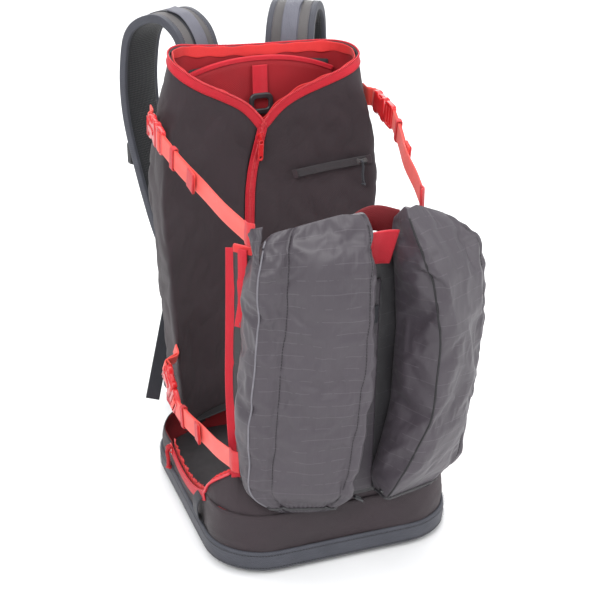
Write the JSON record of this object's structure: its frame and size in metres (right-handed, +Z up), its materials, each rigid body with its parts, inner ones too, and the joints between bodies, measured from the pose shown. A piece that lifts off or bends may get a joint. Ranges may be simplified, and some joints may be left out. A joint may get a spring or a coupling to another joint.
{
  "type": "ski backpack",
  "caption": "Backcountry ski backpack whose front panel lets out on straps to carry a bucket-sized load, with pods, padded shoulder straps and hip wings.",
  "frame": {"origin": "centre of the base's underside, on the floor", "axes": "+Z up, -Y to the front panel and its pods, +Y to the wearer's back, +X to the viewer's right as seen from the front"},
  "size_m": [0.3309, 0.5494, 0.5922],
  "materials": {
    "shell_fabric": "matt plum-grey packcloth",
    "ripstop": "grey ripstop with a fine grid",
    "lining": "red packcloth",
    "zip_tape": "red woven tape with coil teeth",
    "pocket_zip": "dark woven tape",
    "slider_metal": "satin black",
    "pull_cord": "red braided cord",
    "red_webbing": "coral red woven webbing",
    "red_buckle": "glossy red acetal",
    "binding": "slate woven binding",
    "base_fabric": "coated base fabric",
    "base_board": "stiff polyethylene sheet",
    "stay": "satin",
    "foam": "spacer mesh over foam",
    "black_webbing": "dark woven webbing",
    "black_plastic": "satin black acetal"
  },
  "bodies": {
    "pack": {"back_pad": "foam", "bag_back": "shell_fabric", "bag_floor": "lining", "bag_front_left": "shell_fabric", "bag_front_right": "shell_fabric", "bag_sides": "shell_fabric", "base_binding": "binding", "base_board": "base_board", "base_floor": "base_fabric", "boot_wall": "shell_fabric", "buckle_sockets": "red_buckle", "frame_sheet": "base_board", "frame_stays": "stay", "front_zip": "zip_tape", "hanger_hook": "black_plastic", "hanger_webbing": "red_webbing", "inner_divider": "lining", "lower_webbing": "black_webbing", "mouth_zip": "zip_tape", "pocket_zip": "pocket_zip", "shoulder_strap_left": "foam", "shoulder_strap_right": "foam", "side_zip_sliders": "slider_metal", "side_zips": "zip_tape", "sternum_rails": "black_webbing", "strap_adjusters": "black_plastic", "strap_anchor_tabs": "red_webbing", "tool_loops": "black_webbing"},
    "front_panel": {"front_panel": "ripstop", "panel_zips": "zip_tape", "panel_lining": "lining", "channel_panel": "ripstop", "panel_zip_pull": "pull_cord", "pod_left": "ripstop", "pod_right": "ripstop", "panel_tabs": "red_webbing"},
    "strap_upper_left": {"plug_upper_left": "red_buckle", "webbing_upper_left": "red_webbing"},
    "strap_upper_right": {"plug_upper_right": "red_buckle", "webbing_upper_right": "red_webbing"},
    "strap_lower_left": {"plug_lower_left": "red_buckle", "webbing_lower_left": "red_webbing"},
    "strap_lower_right": {"plug_lower_right": "red_buckle", "webbing_lower_right": "red_webbing"},
    "front_zip_slider": {"front_zip_slider": "slider_metal"},
    "front_zip_pull": {"front_zip_pull": "pull_cord"},
    "pocket_slider": {"pocket_slider": "slider_metal"},
    "side_zip_pull_left": {"side_zip_pull_left": "pull_cord"},
    "hip_left": {"hip_wing_left": "foam", "hip_webbing_left": "black_webbing", "hip_buckle_left": "black_plastic"},
    "sternum_left": {"sternum_hardware_left": "black_plastic", "sternum_webbing_left": "black_webbing"},
    "side_zip_pull_right": {"side_zip_pull_right": "pull_cord"},
    "hip_right": {"hip_wing_right": "foam", "hip_webbing_right": "black_webbing", "hip_buckle_right": "black_plastic"},
    "sternum_right": {"sternum_hardware_right": "black_plastic", "sternum_webbing_right": "black_webbing"},
    "haul_loop": {"haul_loop": "black_webbing"}
  },
  "joints": [
    {"name": "panel_fold", "type": "hinge", "parent": "pack", "child": "front_panel", "pos_m": [0, -0.166, 0.08], "axis": [1, 0, 0], "range_deg": [0, 24]},
    {"name": "strap_swing_upper_left", "type": "hinge", "parent": "front_panel", "child": "strap_upper_left", "pos_m": [-0.108, -0.14, 0.424], "axis": [1, 0, 0], "range_deg": [-31.51, 0]},
    {"name": "strap_swing_upper_right", "type": "hinge", "parent": "front_panel", "child": "strap_upper_right", "pos_m": [0.105, -0.128, 0.434], "axis": [1, 0, 0], "range_deg": [-33.33, 0]},
    {"name": "strap_swing_lower_left", "type": "hinge", "parent": "front_panel", "child": "strap_lower_left", "pos_m": [-0.134, -0.15, 0.15], "axis": [1, 0, 0], "range_deg": [-32.37, 0]},
    {"name": "strap_swing_lower_right", "type": "hinge", "parent": "front_panel", "child": "strap_lower_right", "pos_m": [0.161, -0.15, 0.15], "axis": [1, 0, 0], "range_deg": [-32.37, 0]},
    {"name": "front_zip_slide", "type": "slide", "parent": "pack", "child": "front_zip_slider", "axis": [-0.1715, 0.1838, -0.9679], "range_m": [0, 0.036]},
    {"name": "front_zip_pull_swing", "type": "hinge", "parent": "front_zip_slider", "child": "front_zip_pull", "pos_m": [-0.00377, 0.12276, 0.43651], "axis": [-1, 0, 0], "range_deg": [0, 100]},
    {"name": "pocket_zip_slide", "type": "slide", "parent": "pack", "child": "pocket_slider", "axis": [-0.8956, 0.3829, -0.2265], "range_m": [0, 0.07]},
    {"name": "side_zip_pull_swing_left", "type": "hinge", "parent": "pack", "child": "side_zip_pull_left", "pos_m": [-0.1584, 0.058, 0.056], "axis": [0, 1, 0], "range_deg": [0, 90]},
    {"name": "hip_fold_left", "type": "hinge", "parent": "pack", "child": "hip_left", "pos_m": [-0.084, 0.191, 0.103], "axis": [0, 0, -1], "range_deg": [-10, 28]},
    {"name": "sternum_slide_left", "type": "slide", "parent": "pack", "child": "sternum_left", "axis": [0, 0, 1], "range_m": [-0.03, 0.02]},
    {"name": "side_zip_pull_swing_right", "type": "hinge", "parent": "pack", "child": "side_zip_pull_right", "pos_m": [0.1584, 0.058, 0.056], "axis": [0, -1, 0], "range_deg": [0, 90]},
    {"name": "hip_fold_right", "type": "hinge", "parent": "pack", "child": "hip_right", "pos_m": [0.084, 0.191, 0.103], "axis": [0, 0, 1], "range_deg": [-10, 28]},
    {"name": "sternum_slide_right", "type": "slide", "parent": "pack", "child": "sternum_right", "axis": [0, 0, 1], "range_m": [-0.03, 0.02]},
    {"name": "haul_loop_lift", "type": "hinge", "parent": "pack", "child": "haul_loop", "pos_m": [0, 0.1696, 0.528], "axis": [1, 0, 0], "range_deg": [0, 165]}
  ],
  "couplings": [
    {"joint": "strap_swing_upper_left", "follows": "panel_fold", "ratio": -1.292},
    {"joint": "strap_swing_upper_right", "follows": "panel_fold", "ratio": -1.368},
    {"joint": "strap_swing_lower_left", "follows": "panel_fold", "ratio": -1.328},
    {"joint": "strap_swing_lower_right", "follows": "panel_fold", "ratio": -1.328}
  ]
}
